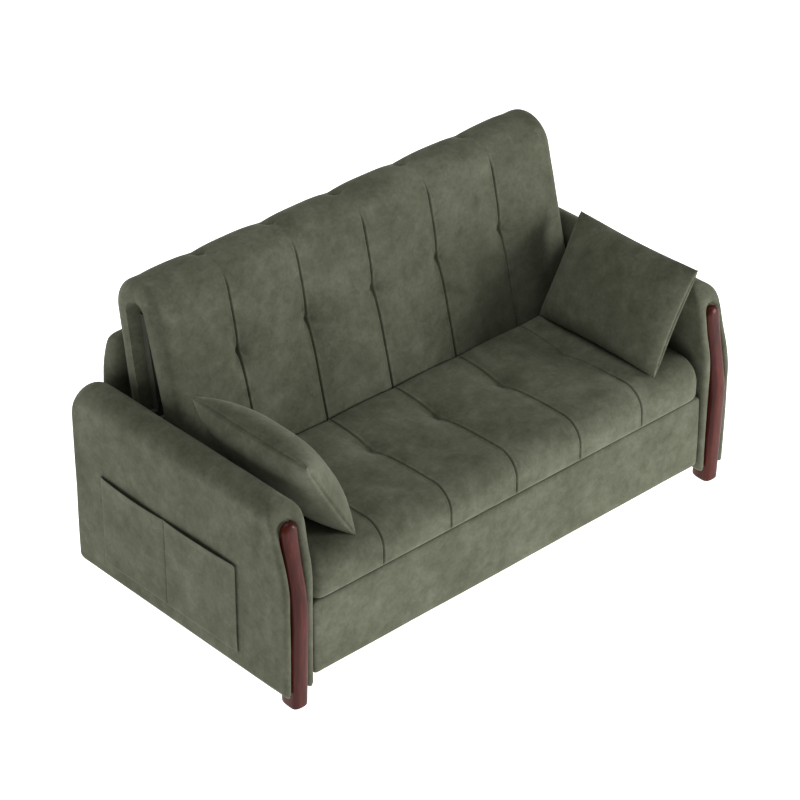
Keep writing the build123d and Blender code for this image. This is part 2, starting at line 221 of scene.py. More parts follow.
def velvetMaterial():
    # cut-pile polyester velvet: dull in its depth, paler where it turns away, brushed in faint patches
    material, tree = newMaterial("olive polyester velvet")
    drawn, ramp = mottled(tree, velvet["tones"], velvet["patches"], velvet["shares"])
    surface = dict(velvet["surface"])
    surface["Sheen Tint"] = hexToLinear(surface["Sheen Tint"])
    finishMaterial(tree, drawn, ramp, surface, velvet["pile"], velvet["raised"])
    return material


plainFinishes = {
    # shaped hardwood stained red-brown under lacquer: long dark streaks and one small sharp highlight
    "mahogany": {
        "name": "stained lacquered mahogany",
        "tones": ("#33100c", "#471811", "#5a2419"),
        "patches": (26 * mm, 7 * mm),
        "shares": (0.6, 0.4),
        "stretch": (1, 1, 0.09),  # the grain runs up the post
        "grain": 3 * mm,
        "raised": 0.05 * mm,
        "surface": {
            "Roughness": 0.5,
            "Specular IOR Level": 0.12,
            "Coat Weight": 0.12,
            "Coat Roughness": 0.1,
        },
    },
    # rotary-cut birch ply: pale, flat grain and a dry sawn face
    "plywood": {
        "name": "birch plywood",
        "tones": ("#b39468", "#c8aa7c", "#d6bd93"),
        "patches": (60 * mm, 12 * mm),
        "shares": (0.6, 0.4),
        "stretch": (0.12, 1, 1),
        "grain": 2 * mm,
        "raised": 0.15 * mm,
        "surface": {"Roughness": 0.72, "IOR": 1.5},
    },
    # thin plain-weave cover stapled over the boards: even, dull and slightly hairy; its olive is toned darker
    # than the velvet's as painted shade for the inside of the folded back
    "lining": {
        "name": "olive cover cloth with painted shade",
        # olive cloth with painted shade: these tones sit below the velvet's to stand for the shade inside the
        # fold
        "tones": ("#33362a", "#3b3e31", "#45483a"),
        "patches": (90 * mm, 6 * mm),
        "shares": (0.5, 0.5),
        "stretch": (1, 1, 1),
        "grain": 1.6 * mm,
        "raised": 0.3 * mm,
        "surface": {"Roughness": 0.95, "Sheen Weight": 0.15, "Sheen Roughness": 0.5, "IOR": 1.45},
    },
    # steamed beech strips, planed: warm with short flecks
    "slat_wood": {
        "name": "planed beech",
        "tones": ("#b58656", "#c99a69", "#d9b083"),
        "patches": (40 * mm, 5 * mm),
        "shares": (0.55, 0.45),
        "stretch": (0.1, 1, 1),
        "grain": 2 * mm,
        "raised": 0.08 * mm,
        "surface": {"Roughness": 0.5, "IOR": 1.5},
    },
    # powder-coated tube: near black with a fine orange-peel skin
    "black_steel": {
        "name": "black powder-coated steel",
        "tones": ("#141516", "#1b1c1d", "#232425"),
        "patches": (50 * mm, 4 * mm),
        "shares": (0.5, 0.5),
        "stretch": (1, 1, 1),
        "grain": 1.2 * mm,
        "raised": 0.08 * mm,
        "surface": {"Roughness": 0.5, "IOR": 1.5},
    },
    # zinc-plated steel: grey metal, faintly cloudy from the plating bath
    "zinc_steel": {
        "name": "zinc-plated steel",
        "tones": ("#8e9296", "#a4a8ab", "#b9bcbe"),
        "patches": (18 * mm, 5 * mm),
        "shares": (0.5, 0.5),
        "stretch": (1, 1, 1),
        "grain": 1 * mm,
        "raised": 0.03 * mm,
        "surface": {"Metallic": 1.0, "Roughness": 0.36},
    },
    # moulded rubber tread: dark grey, dusty where it has rolled
    "caster_rubber": {
        "name": "moulded grey rubber",
        "tones": ("#1d1d1e", "#28282a", "#3a3a3a"),
        "patches": (12 * mm, 3 * mm),
        "shares": (0.5, 0.5),
        "stretch": (1, 1, 1),
        "grain": 0.9 * mm,
        "raised": 0.08 * mm,
        "surface": {"Roughness": 0.7, "IOR": 1.52},
    },
}


def plainMaterial(finish):
    look = plainFinishes[finish]
    material, tree = newMaterial(look["name"])
    drawn, ramp = mottled(tree, look["tones"], look["patches"], look["shares"], look["stretch"])
    finishMaterial(tree, drawn, ramp, look["surface"], look["grain"], look["raised"])
    return material


def makePiece(name, points, faces, material):
    mesh = bpy.data.meshes.new(name)
    mesh.from_pydata([tuple(p) for p in points], [], faces)
    mesh.validate()
    mesh.materials.append(material)
    mesh.polygons.foreach_set("use_smooth", [True] * len(mesh.polygons))
    piece = bpy.data.objects.new(name, mesh)
    bpy.context.scene.collection.objects.link(piece)
    return piece


def boxShell(counts):
    # the outside of a lattice of cells: its points as whole-number indices, and its quads
    ids, quads = {}, []
    for axis in range(3):
        first, second = [i for i in range(3) if i != axis]
        for a, b in product(range(counts[first]), range(counts[second])):
            for level in (0, counts[axis]):
                quad = []
                for da, db in ((0, 0), (1, 0), (1, 1), (0, 1)):
                    key = [0, 0, 0]
                    key[axis], key[first], key[second] = level, a + da, b + db
                    quad.append(ids.setdefault(tuple(key), len(ids)))
                outward = (level > 0) != (axis == 1)
                quads.append(quad if outward else quad[::-1])
    return np.array(list(ids)), quads


def spread(low, high, near, pitch):
    # places from low to high, close together near both ends
    ends = [n for n in near if n < (high - low) / 2]
    middle = (high - low) - 2 * ends[-1]
    steps = max(1, round(middle / pitch))
    inner = [low + ends[-1] + middle * i / steps for i in range(1, steps)]
    return [low] + [low + n for n in ends] + inner + [high - n for n in ends[::-1]] + [high]


def roundBox(points, low, high, radii, squareLow=False):
    # pulls a box's surface points onto rounded edges; squareLow leaves the lowest side of axis 2 square
    low, high, radii = (np.array(v, float) for v in (low, high, radii))
    coreLow = low + radii
    if squareLow:
        coreLow[2] = low[2]
    core = np.clip(points, coreLow, high - radii)
    unit = (points - core) / radii
    if squareLow:
        unit[:, 2] = np.where(points[:, 2] <= core[:, 2] + 1e-9, 0, unit[:, 2])
    unit /= np.maximum(np.linalg.norm(unit, axis=1, keepdims=True), 1e-9)
    return core + unit * radii


def readPoints(piece):
    points = np.zeros(len(piece.data.vertices) * 3, np.float32)
    piece.data.vertices.foreach_get("co", points)
    return points.reshape(-1, 3).astype(float)


def readNormals(piece):
    normals = np.zeros(len(piece.data.vertices) * 3, np.float32)
    piece.data.vertex_normals.foreach_get("vector", normals)
    return normals.reshape(-1, 3).astype(float)


def writePoints(piece, points):
    piece.data.vertices.foreach_set("co", np.asarray(points, np.float32).ravel())
    piece.data.update()


def applyModifiers(piece):
    graph = bpy.context.evaluated_depsgraph_get()
    mesh = bpy.data.meshes.new_from_object(piece.evaluated_get(graph), depsgraph=graph)
    piece.modifiers.clear()
    old = piece.data
    piece.data = mesh
    bpy.data.meshes.remove(old)


filling = {
    "pin_stiffness": 5,
    "quality": 4,
    "mass": 0.3,
    "tension_stiffness": 12,
    "compression_stiffness": 12,
    "shear_stiffness": 4,
    "tension_damping": 8,
    "shear_damping": 8,
}


def inflate(piece, hold, pressure, cap, slack=0.02, steps=14, bend=0.5):
    # blows the piece up as cloth; hold is 1 where stitches fix it, 0 where it is free
    start = readPoints(piece)
    group = piece.vertex_groups.new(name="stitched")
    for level in np.unique(np.round(hold, 2)):
        members = np.nonzero(np.round(hold, 2) == level)[0]
        if level > 0:
            group.add(members.tolist(), float(level), "REPLACE")
    cloth = piece.modifiers.new("filling", "CLOTH")
    cloth.settings.vertex_group_mass = "stitched"
    for setting, value in filling.items():
        setattr(cloth.settings, setting, value)
    cloth.settings.bending_stiffness = bend
    cloth.settings.use_pressure = True
    cloth.settings.uniform_pressure_force = pressure
    cloth.settings.shrink_min = -slack
    cloth.settings.effector_weights.gravity = 0
    cloth.collision_settings.use_collision = False
    cloth.point_cache.frame_start = 1
    cloth.point_cache.frame_end = steps + 2
    scene = bpy.context.scene
    for step in range(1, steps + 1):
        scene.frame_set(step)
    applyModifiers(piece)
    scene.frame_set(1)
    moved = readPoints(piece) - start
    length = np.linalg.norm(moved, axis=1, keepdims=True)
    writePoints(piece, start + moved * np.minimum(1, cap / np.maximum(length, 1e-9)))


def subdivide(piece, levels=1):
    smooth = piece.modifiers.new("smooth", "SUBSURF")
    smooth.levels = smooth.render_levels = levels
    applyModifiers(piece)


def smoothCurve(value, knots, heights):
    # smooth curve through a few points
    knots, heights = np.array(knots, float), np.array(heights, float)
    slopes = np.gradient(heights, knots)
    i = np.clip(np.searchsorted(knots, value) - 1, 0, len(knots) - 2)
    width = knots[i + 1] - knots[i]
    t = np.clip((value - knots[i]) / width, 0, 1)
    a, b = 2 * t**3 - 3 * t**2 + 1, t**3 - 2 * t**2 + t
    c, d = -2 * t**3 + 3 * t**2, t**3 - t**2
    return a * heights[i] + b * width * slopes[i] + c * heights[i + 1] + d * width * slopes[i + 1]


def unevenness(points, size, height, seed=0.0):
    # gentle lumps of the filling under the cloth
    return np.array([noise.noise(Vector(p) / size + Vector((seed, seed, seed))) for p in points]) * height


sewing = {
    "panels": 6,
    "stations": (1.5 * mm, 4 * mm, 8 * mm, 14 * mm, 24 * mm, 38 * mm),  # rows of the mesh beside a seam
    "pitch": 22 * mm,
    "crown": 6 * mm,  # panel's middle above its seams
    "crownPower": 3.0,
    "pressure": 2.2,
    "cap": 4 * mm,
    "slack": 0.02,
    "groove": 4.4 * mm,
    "grooveWidth": 2.0 * mm,
    "lip": 1.3 * mm,  # cloth stands up a little on both sides of the stitches
    "lipPlace": 5.5 * mm,
    "lipWidth": 2.8 * mm,
    "near": 0.5 * mm,  # a point this close to a seam is on it
    "creases": 7,  # folds of cloth round a tuft
    "creaseTurn": 0.6,
    "creaseFade": 1.3,
}


def panelColumns(low, high):
    width = (high - low) / sewing["panels"]
    columns = [low]
    for panel in range(sewing["panels"]):
        start = low + panel * width
        columns += spread(start, start + width, sewing["stations"], sewing["pitch"])[1:]
    return np.array(columns)


def fromSeam(x, low, high):
    width = (high - low) / sewing["panels"]
    nearest = np.clip(np.round((x - low) / width), 1, sewing["panels"] - 1)
    return x - (low + nearest * width)


def panelCrown(x, low, high):
    # 0 on a seam, 1 in a panel's middle; the outer panels keep their crown to the end
    share = (x - low) / (high - low) * sewing["panels"]
    share = np.clip(share, 0.5, sewing["panels"] - 0.5)
    return 1 - np.abs(2 * (share % 1) - 1) ** sewing["crownPower"]


def seamGroove(x, low, high):
    away = np.abs(fromSeam(x, low, high))
    lip = sewing["lip"] * np.exp(-(((away - sewing["lipPlace"]) / sewing["lipWidth"]) ** 2))
    return sewing["groove"] * np.exp(-((away / sewing["grooveWidth"]) ** 2)) - lip


def tuft(across, along, deep, wide, long, fold=0.0):
    # a stitched-down point, with folds of cloth running out from it
    reach = np.sqrt((across / wide) ** 2 + (along / long) ** 2)
    angle = np.arctan2(along / long, across / wide) * sewing["creases"] + sewing["creaseTurn"]
    return deep * np.exp(-reach) - fold * np.cos(angle) * reach * np.exp(-sewing["creaseFade"] * reach)


seat = {
    "rounding": (0.034, 0.072, 0.070),  # ends, front, top
    "rearSquare": 0.050,  # how much of the same rounding is cut off at the rear, where the back covers it
    "rows": 60,
    "rowsHigh": 16,
    "tuck": {"deep": 7 * mm, "high": 11 * mm, "reach": 0.1},  # the lower front edge turns in
    "faced": (0, -0.96, 1.28),  # full effect where the cloth faces up and forward
    "crownBase": 0.3,  # share of the crown that seams sink below the plain shape
    "squareFoot": 0.02,
    "lumps": {"size": 0.09, "height": 1.0 * mm},
    "tuftDepth": 0.314,  # behind the cushion's front
    "tuft": {"deep": 27 * mm, "wide": 34 * mm, "long": 52 * mm, "fold": 2.0 * mm},
    # height above the bottom edge, and how far the padding's rear is hollowed there
    "hollowHeights": [0, 0.022, 0.052, 0.082, 0.102, 0.121],
    "hollows": [0.052, 0.049, 0.041, 0.024, 0.008, 0.001],
}


def makeSeat(material):
    low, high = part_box("seat_cushion")
    columns = panelColumns(low[0], high[0])
    counts = (len(columns) - 1, seat["rows"], seat["rowsHigh"])
    lattice, quads = boxShell(counts)
    flat = np.array(low) + lattice / np.array(counts) * (np.array(high) - np.array(low))
    flat[:, 0] = columns[lattice[:, 0]]
    rearEnd = np.array(high) + np.array((0, seat["rearSquare"], 0))
    flat[:, 1] = low[1] + (flat[:, 1] - low[1]) * (rearEnd[1] - low[1]) / (high[1] - low[1])
    points = roundBox(flat, low, rearEnd, seat["rounding"], squareLow=True)
    points[:, 1] = np.minimum(points[:, 1], high[1])
    height = points[:, 2] - low[2]
    hollow = np.interp(height, seat["hollowHeights"], seat["hollows"])
    points[:, 1] -= hollow * ((points[:, 1] - low[1]) / (high[1] - low[1])) ** 2
    turnedIn = seat["tuck"]["deep"] * np.clip(1 - height / seat["tuck"]["high"], 0, 1) ** 2
    points[:, 1] += turnedIn * np.clip(1 - (points[:, 1] - low[1]) / seat["tuck"]["reach"], 0, 1)
    piece = makePiece("seatMattress", points, quads, material)
    faced = np.clip(readNormals(piece) @ np.array(seat["faced"]), 0, 1)
    above = np.clip(height / seat["squareFoot"], 0, 1)
    crown = panelCrown(points[:, 0], low[0], high[0])
    raised = sewing["crown"] * (crown - seat["crownBase"]) * faced * above
    points += readNormals(piece) * raised[:, None]
    writePoints(piece, points)
    sewn = np.abs(fromSeam(points[:, 0], low[0], high[0])) < sewing["near"]
    hold = np.zeros(len(points))
    hold[(lattice[:, 2] == 0) | (lattice[:, 1] == counts[1])] = 1
    hold[(lattice[:, 0] == 0) | (lattice[:, 0] == counts[0])] = 1
    hold[sewn] = 1
    inflate(piece, hold, sewing["pressure"], sewing["cap"], sewing["slack"])
    subdivide(piece)
    points, normals = readPoints(piece), readNormals(piece)
    faced = np.clip(normals @ np.array(seat["faced"]), 0, 1)
    away = fromSeam(points[:, 0], low[0], high[0])
    depth = points[:, 1] - low[1]
    sunk = seamGroove(points[:, 0], low[0], high[0])
    sunk += tuft(away, depth - seat["tuftDepth"], **seat["tuft"])
    sunk += unevenness(points, **seat["lumps"])
    writePoints(piece, points - normals * (sunk * faced)[:, None])
    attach(piece, "pull_out")
    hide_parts("seat_cushion")


joints = {joint["name"]: joint for joint in frame["joints"]}
foldY, foldZ = joints["fold_hinge"]["pos_m"][1:]
frontLean = math.radians(90 - round(joints["seat_hinge"]["range_deg"][1], 1))
rearLean = math.radians(joints["head_pivot"]["range_deg"][1] - 90)

back = {
    "wider": 4 * mm,  # each end stands this far past the boards' padding
    "near": 0.0235,  # the boards' outer faces, from the fold plane
    "far": 0.092,
    "frontLength": 0.6455,
    "rearLength": 0.473,
    "rounding": (0.030, 0.034, 0.040),  # ends, bottom edges, outer face
    "rows": 150,
    "rowsThick": 8,
    "blendReach": 0.060,
    "rowOfTufts": {
        # distance over the outside from the front layer's bottom edge
        "front": {"from": "front", "below": 0.179, "deep": 20 * mm, "wide": 22 * mm, "long": 30 * mm},
        "ridge": {"from": "roll", "degrees": 92, "deep": 34 * mm, "wide": 12 * mm, "long": 11 * mm},
        "rear": {"from": "rear", "below": 0.205, "deep": 20 * mm, "wide": 22 * mm, "long": 30 * mm},
    },
    "fold": 3.0 * mm,
    "ridgeDip": {"deep": 1.5 * mm, "wide": 60 * mm, "long": 70 * mm},
    "rollCrown": 0.55,  # share of the panels' crown that is left on the roll
    "rollReach": 0.6,  # share of the roll over which it comes back
    "endCrown": {"share": 0.4, "reach": 0.05},  # the crown is lower at the ends
    "endValley": {"deep": 3.0 * mm, "from": 58 * mm, "wide": 20 * mm},  # inside the rolled end
    "innerRounding": 0.015,  # how far the ends turn away from the boards
    "innerReach": 0.04,
    "outside": (0.05, 0.07),  # seams and tufts grow in over these distances from the fold plane
    "lumps": {"size": 0.10, "height": 1.2 * mm, "seed": 5.0},
    "seamFade": (-0.004, -0.046),  # the seams die away this far past the fold line, on the roll
}
backTurn = math.pi - frontLean + rearLean
backArc = back["far"] * backTurn
backTotal = back["frontLength"] + backArc + back["rearLength"]
downFront = np.array((-math.sin(frontLean), -math.cos(frontLean)))
outFront = np.array((-math.cos(frontLean), math.sin(frontLean)))
downRear = np.array((-math.sin(rearLean), -math.cos(rearLean)))
outRear = np.array((math.cos(rearLean), -math.sin(rearLean)))


def folded(along, out):
    # along runs over the outside: up the front layer, over the roll, down the rear layer
    angle = np.clip((along - back["frontLength"]) / backArc, 0, 1) * backTurn + frontLean
    outward = np.column_stack((-np.cos(angle), np.sin(angle)))
    belowFront = np.clip(back["frontLength"] - along, 0, None)
    belowRear = np.clip(along - back["frontLength"] - backArc, 0, None)
    places = outward * out[:, None] + np.outer(belowFront, downFront) + np.outer(belowRear, downRear)
    return foldY + places[:, 0], foldZ + places[:, 1]


def unfolded(y, z):
    places = np.column_stack((y - foldY, z - foldZ))
    onFront = (places @ downFront > 0) & (places @ outFront > 0)
    onRear = (places @ downRear > 0) & (places @ outRear > 0) & ~onFront
    angle = np.arctan2(places[:, 1], -places[:, 0]) % (2 * math.pi)
    along = back["frontLength"] + back["far"] * (angle - frontLean)
    along = np.where(onFront, back["frontLength"] - places @ downFront, along)
    along = np.where(onRear, back["frontLength"] + backArc + places @ downRear, along)
    out = np.linalg.norm(places, axis=1)
    out = np.where(onFront, places @ outFront, np.where(onRear, places @ outRear, out))
    return along, out


def tuftPlace(row):
    if row["from"] == "front":
        return back["frontLength"] - row["below"]
    if row["from"] == "rear":
        return back["frontLength"] + backArc + row["below"]
    return back["frontLength"] + back["far"] * math.radians(row["degrees"])


def makeBack(material):
    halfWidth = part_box("back_pad")[1][0] + back["wider"]
    columns = panelColumns(-halfWidth, halfWidth)
    counts = (len(columns) - 1, back["rows"], back["rowsThick"])
    lattice, quads = boxShell(counts)
    low, high = np.array((-halfWidth, 0, back["near"])), np.array((halfWidth, backTotal, back["far"]))
    flat = low + lattice / np.array(counts) * (high - low)
    flat[:, 0] = columns[lattice[:, 0]]
    points = roundBox(flat, low, high, back["rounding"], squareLow=True)
    outer = np.clip((points[:, 2] - back["near"]) / (back["far"] - back["near"]), 0, 1) ** 2
    crown = panelCrown(points[:, 0], -halfWidth, halfWidth)
    fromEnd = halfWidth - np.abs(points[:, 0])
    along = points[:, 1]
    rollMiddle = back["frontLength"] + backArc / 2
    fromRoll = np.clip(np.abs(along - rollMiddle) / (back["rollReach"] * backArc), 0, 1)
    share = back["rollCrown"] + (1 - back["rollCrown"]) * fromRoll
    endShare = back["endCrown"]["share"]
    share *= endShare + (1 - endShare) * np.clip(fromEnd / back["endCrown"]["reach"], 0, 1)
    points[:, 2] += sewing["crown"] * crown * outer * share
    valley = back["endValley"]
    points[:, 2] -= valley["deep"] * outer * np.exp(-(((fromEnd - valley["from"]) / valley["wide"]) ** 2))
    turned = back["innerRounding"] * (1 - np.clip(fromEnd / (2 * back["innerRounding"]), 0, 1)) ** 2
    points[:, 2] += turned * (1 - np.clip((points[:, 2] - back["near"]) / back["innerReach"], 0, 1))
    out = points[:, 2]
    y, z = folded(along, out)
    piece = makePiece("backMattress", np.column_stack((points[:, 0], y, z)), quads, material)
    hold = np.zeros(len(points))
    hold[lattice[:, 2] == 0] = 1
    sewn = np.abs(fromSeam(points[:, 0], -halfWidth, halfWidth)) < sewing["near"]
    hold[sewn & (lattice[:, 2] == counts[2])] = 1
    inflate(piece, hold, sewing["pressure"], sewing["cap"], sewing["slack"])
    subdivide(piece)
    points, normals = readPoints(piece), readNormals(piece)
    along, out = unfolded(points[:, 1], points[:, 2])
    away = fromSeam(points[:, 0], -halfWidth, halfWidth)
    outer = np.clip((out - back["outside"][0]) / (back["outside"][1] - back["outside"][0]), 0, 1)
    start, end = back["seamFade"]
    frontSeam = np.clip((back["frontLength"] - along - end) / (start - end), 0, 1)
    rearSeam = np.clip((along - back["frontLength"] - backArc - end) / (start - end), 0, 1)
    sunk = seamGroove(points[:, 0], -halfWidth, halfWidth) * np.maximum(frontSeam, rearSeam)
    for row in back["rowOfTufts"].values():
        sunk += tuft(away, along - tuftPlace(row), row["deep"], row["wide"], row["long"], back["fold"])
    ridge = back["ridgeDip"]
    fromRidge = along - tuftPlace(back["rowOfTufts"]["ridge"])
    sunk += ridge["deep"] * np.exp(-((away / ridge["wide"]) ** 2) - (fromRidge / ridge["long"]) ** 2)
    sunk += unevenness(points, **back["lumps"])
    writePoints(piece, points - normals * (sunk * outer)[:, None])
    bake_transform(piece)
    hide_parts("back_pad", "fold_roll", "head_pad")


frontPad = {
    "radius": 9 * mm,
    "crown": 1.5 * mm,
    "lumps": {"size": 0.12, "height": 0.9 * mm, "seed": 9.0},
    "counts": (110, 4, 20),
}


def makeFrontPadding(material):
    low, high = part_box("front_padding")
    lattice, quads = boxShell(frontPad["counts"])
    flat = np.array(low) + lattice / np.array(frontPad["counts"]) * (np.array(high) - np.array(low))
    points = roundBox(flat, low, high, (frontPad["radius"],) * 3)
    piece = makePiece("frontPanelPadding", points, quads, material)
    subdivide(piece)
    points, normals = readPoints(piece), readNormals(piece)
    up = (points[:, 2] - low[2]) / (high[2] - low[2])
    faced = np.clip(-normals[:, 1], 0, 1)
    bulge = frontPad["crown"] * (1 - (2 * up - 1) ** 2) + unevenness(points, **frontPad["lumps"])
    writePoints(piece, points + normals * (bulge * faced)[:, None])
    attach(piece, "pull_out")
    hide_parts("front_padding")


rearPad = {
    "rounding": (0.024, 0.030, 0.030),
    "heights": [0.06, 0.45, 0.57, 0.64, 0.70, 0.740],
    "thickness": [1.0, 1.0, 0.97, 0.88, 0.68, 0.50],  # share of the lower thickness
    "counts": (70, 8, 44),
    "lumps": {"size": 0.14, "height": 1.2 * mm, "seed": 3.0},
}


def makeRearPadding(material):
    low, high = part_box("rear_panel_padding")
    lattice, quads = boxShell(rearPad["counts"])
    flat = np.array(low) + lattice / np.array(rearPad["counts"]) * (np.array(high) - np.array(low))
    points = roundBox(flat, low, high, rearPad["rounding"], squareLow=True)
    share = smoothCurve(points[:, 2], rearPad["heights"], rearPad["thickness"])
    points[:, 1] = low[1] + (points[:, 1] - low[1]) * share
    piece = makePiece("rearPanelPadding", points, quads, material)
    subdivide(piece)
    points, normals = readPoints(piece), readNormals(piece)
    faced = np.clip(np.abs(normals[:, 1]) + normals[:, 2], 0, 1)
    lumps = unevenness(points, **rearPad["lumps"]) * faced
    writePoints(piece, points + normals * lumps[:, None])
    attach(piece, "base")
    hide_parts("rear_panel_padding")


post = {
    "halfWidth": 0.025,
    # depth of the front edge at each height, as (height, depth)
    "front": [(0, -0.014), (0.092, -0.018), (0.22, -0.023), (0.30, -0.025), (0.36, -0.018),
              (0.432, -0.005), (0.51, 0.009), (0.560, 0.014)],
    "nose": 0.020,  # how far the rounded front stands out from its sides
    "noseAtTop": 0.25,  # least share of the nose that is left on the rounded top
    "topLean": 0.55,  # how far the rounded top's front draws back, as a share of its narrowing
    "frontBoxy": 2.7,  # 2 is a round section, more is squarer
    "backBoxy": 3,
    "back": 0.037,
    "footBack": 0.055,
    "chamfer": {"high": 2.0 * mm, "steep": 0.8},  # round the sole
    "around": 36,
    "soleRows": (0, 1.5 * mm, 4 * mm),
    "footRows": 4,
    "shoulder": 0.5 * mm,  # half the height of the step where the foot ends
    "rows": 60,
    "domeStep": 6,  # degrees
    "tip": 0.1 * mm,
}
arm = {
    "rim": 0.012,  # radius of the padded rim round the post
    "grooveFloor": 0.038,
    "groovePlay": 1.0 * mm,
    "grooveRow": 0.030,  # depth of a row inside the groove, behind the crest
    "rimSteps": 12,
    "bendSteps": 12,
    # depth of the rim's crest at each height, on the outer and the inner side
    "heights": [0.046, 0.12, 0.205, 0.32, 0.36, 0.42, 0.485, 0.565, 0.592, 0.606, 0.612],
    "outerFront": [-0.006, -0.008, -0.010, -0.010, -0.010, -0.001, 0.018, 0.042, 0.056, 0.070, 0.078],
    "innerFront": [-0.005, -0.005, -0.006, -0.008, -0.009, -0.006, 0.008, 0.026, 0.042, 0.062, 0.072],
    "rearTopRadius": 0.070,
    "wallRows": 44,
    "archRows": 26,
    "pitch": 0.018,
    "evenFrom": 0.175,  # depth from which the rows are evenly spaced
    "heelRadius": 0.028,  # lower rear corner
    # soft valley behind the rim, as (depth behind the crest, sunk by)
    "valley": [(0.020, 0.48 * mm), (0.028, 1.28 * mm), (0.036, 1.6 * mm), (0.045, 1.28 * mm),
               (0.058, 0.4 * mm), (0.075, 0)],
    "crowding": 1.15,  # rows stand closer near the bottom
    "tuck": {"high": 6 * mm, "share": 0.45},  # the lower edge turns in
    "lumps": {"size": 0.13, "height": 1.3 * mm, "seed": 11.0},
    "lumpsFrom": {"foot": 0.05, "front": 0.05, "reach": 0.1},
}


def armStations(rear):
    # rows across the rim and back along the arm: half width, depth behind the crest, fixed depth, dimple
    rim, inner = arm["rim"], post["halfWidth"] + arm["groovePlay"]
    middle, outer = inner + rim, inner + 2 * rim
    rows = [(inner, None, arm["grooveFloor"], 0)]
    for depth in (arm["grooveRow"], rim + 2 * mm):
        rows.append((inner, depth, None, 0))
    for step in range(arm["rimSteps"] + 1):
        angle = math.pi * (step / arm["rimSteps"] - 0.5)
        rows.append((middle + rim * math.sin(angle), rim - rim * math.cos(angle), None, 0))
    for depth, sunk in arm["valley"]:
        rows.append((outer, depth, None, sunk))
    bendStart = rear - arm["rearTopRadius"]
    steps = round((bendStart - arm["evenFrom"]) / arm["pitch"])
    for step in range(steps + 1):
        rows.append((outer, None, arm["evenFrom"] + (bendStart - arm["evenFrom"]) * step / steps, 0))
    for step in range(1, arm["bendSteps"] + 1):
        depth = bendStart + arm["rearTopRadius"] * math.sin(math.pi / 2 * step / arm["bendSteps"])
        past = max(0, depth - (rear - rim))
        rows.append((middle + math.sqrt(max(0, rim**2 - past**2)), None, depth, 0))
    return rows


def roundedBy(radius, past):
    # how far a rounded corner falls away, past the point where it starts
    return radius - math.sqrt(radius**2 - min(max(0, past), radius) ** 2)


def makeArm(side, material):
    name = "right" if side > 0 else "left"
    low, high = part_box(name + "_arm_padding")
    bottom, top = low[2], high[2]
    outerHalf = (high[0] - low[0]) / 2
    middleX = abs(low[0] + high[0]) / 2
    postLow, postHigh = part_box(name + "_wood_post")
    postX = abs(postLow[0] + postHigh[0]) / 2
    postCentreZ = postHigh[2] - post["halfWidth"]
    rear = high[1] - panelFront
    stations = armStations(rear)
    inner = stations[0][0]
    scale = (outerHalf - inner) / (2 * arm["rim"])
    walls, arch = arm["wallRows"], arm["archRows"]
    points, count = [], 2 * walls + arch + 1
    tuckHigh, edge = arm["tuck"]["high"], (inner + outerHalf) / 2
    for half, behind, fixed, dimple in stations:
        half = inner + (half - inner) * scale
        share = (half - inner) / (outerHalf - inner)
        centreX = postX + (middleX - postX) * share
        archZ = postCentreZ + (top - outerHalf - postCentreZ) * share
        reached = (fixed or 0) - rear
        archZ -= roundedBy(arm["rearTopRadius"], reached + arm["rearTopRadius"])
        foot = bottom + roundedBy(arm["heelRadius"], reached + arm["heelRadius"])
        for row in range(count):
            if row <= walls or row >= walls + arch:
                up = row if row <= walls else count - 1 - row
                z = foot + (archZ - foot) * (up / walls) ** arm["crowding"]
                turn = -1 if row <= walls else 1
                x, lean = turn * (half - dimple), turn
            else:
                angle = math.pi * (1 - (row - walls) / arch)
                lean = math.cos(angle)
                x, z = (half - dimple * abs(lean)) * lean, archZ + half * math.sin(angle)
            tuck = arm["tuck"]["share"] * max(0, 1 - (z - foot) / tuckHigh) ** 2
            if tuck > 0:
                x = math.copysign(edge + (abs(x) - edge) * (1 - tuck), x)
            depth = fixed
            if fixed is None:
                onInner = float(smoothCurve(z, arm["heights"], arm["innerFront"]))
                onOuter = float(smoothCurve(z, arm["heights"], arm["outerFront"]))
                depth = onInner + (onOuter - onInner) * (1 + lean) / 2 + behind
            points.append((side * (centreX + x), panelFront + depth, z))
    faces = []
    for station, row in product(range(len(stations) - 1), range(count - 1)):
        a = station * count + row
        faces.append((a, a + 1, a + count + 1, a + count))
    for station in (0, len(stations) - 1):
        for row in range((count - 1) // 2):
            a, b = station * count + row, station * count + count - 1 - row
            quad = (a, b, b - 1, a + 1) if b - 1 != a + 1 else (a, b, a + 1)
            faces.append(quad if station == 0 else quad[::-1])
    under = [s * count for s in range(len(stations))]
    under += [s * count + count - 1 for s in reversed(range(len(stations)))]
    faces.append(under)
    if side < 0:
        faces = [face[::-1] for face in faces]
    piece = makePiece(name + "ArmPadding", points, faces, material)
    points, normals = readPoints(piece), readNormals(piece)
    lumps = unevenness(points, arm["lumps"]["size"], arm["lumps"]["height"], arm["lumps"]["seed"] + side)
    start = arm["lumpsFrom"]
    lumps *= np.clip((points[:, 2] - bottom) / start["foot"], 0, 1)
    lumps *= np.clip((points[:, 1] - panelFront - start["front"]) / start["reach"], 0, 1)
    writePoints(piece, points + normals * lumps[:, None])
    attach(piece, "base")
    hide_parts(name + "_arm_padding")


